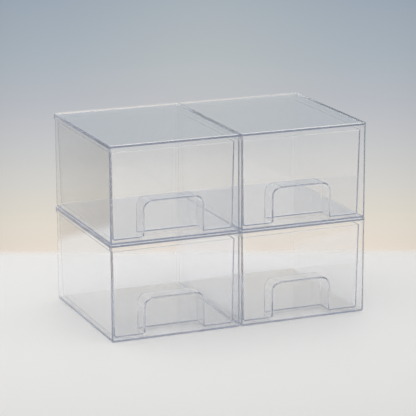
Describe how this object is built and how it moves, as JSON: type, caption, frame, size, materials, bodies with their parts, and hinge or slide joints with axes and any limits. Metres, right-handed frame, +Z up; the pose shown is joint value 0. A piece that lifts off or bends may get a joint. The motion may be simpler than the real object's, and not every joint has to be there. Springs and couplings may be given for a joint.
{
  "type": "stackable drawer box group",
  "caption": "Clear plastic drawer boxes, stacked and side by side, each an open-fronted case with a rimmed cover and a pull-out drawer with an arched finger niche.",
  "frame": {"origin": "on the table under the middle of the group of boxes", "axes": "+X to the right along the drawer fronts, +Y to the back, +Z up; the drawers open along -Y"},
  "size_m": [0.3396, 0.208, 0.2455],
  "materials": {
    "clear_case": "clear polished",
    "clear_cover": "clear polished",
    "clear_drawer": "clear polished"
  },
  "bodies": {
    "lower_boxes": {"lower_left_case": "clear_case", "lower_left_cover": "clear_cover", "lower_right_case": "clear_case", "lower_right_cover": "clear_cover"},
    "upper_left_box": {"upper_left_case": "clear_case", "upper_left_cover": "clear_cover"},
    "upper_right_box": {"upper_right_case": "clear_case", "upper_right_cover": "clear_cover"},
    "lower_left_drawer": {"lower_left_drawer": "clear_drawer"},
    "lower_right_drawer": {"lower_right_drawer": "clear_drawer"},
    "upper_left_drawer": {"upper_left_drawer": "clear_drawer"},
    "upper_right_drawer": {"upper_right_drawer": "clear_drawer"}
  },
  "joints": [
    {"name": "upper_left_lift", "type": "slide", "parent": "lower_boxes", "child": "upper_left_box", "axis": [0, 0, 1], "range_m": [0, 0.13]},
    {"name": "upper_right_lift", "type": "slide", "parent": "lower_boxes", "child": "upper_right_box", "axis": [0, 0, 1], "range_m": [0, 0.13]},
    {"name": "lower_left_drawer_slide", "type": "slide", "parent": "lower_boxes", "child": "lower_left_drawer", "axis": [0, -1, 0], "range_m": [0, 0.16]},
    {"name": "lower_right_drawer_slide", "type": "slide", "parent": "lower_boxes", "child": "lower_right_drawer", "axis": [0, -1, 0], "range_m": [0, 0.16]},
    {"name": "upper_left_drawer_slide", "type": "slide", "parent": "upper_left_box", "child": "upper_left_drawer", "axis": [0, -1, 0], "range_m": [0, 0.16]},
    {"name": "upper_right_drawer_slide", "type": "slide", "parent": "upper_right_box", "child": "upper_right_drawer", "axis": [0, -1, 0], "range_m": [0, 0.16]}
  ]
}
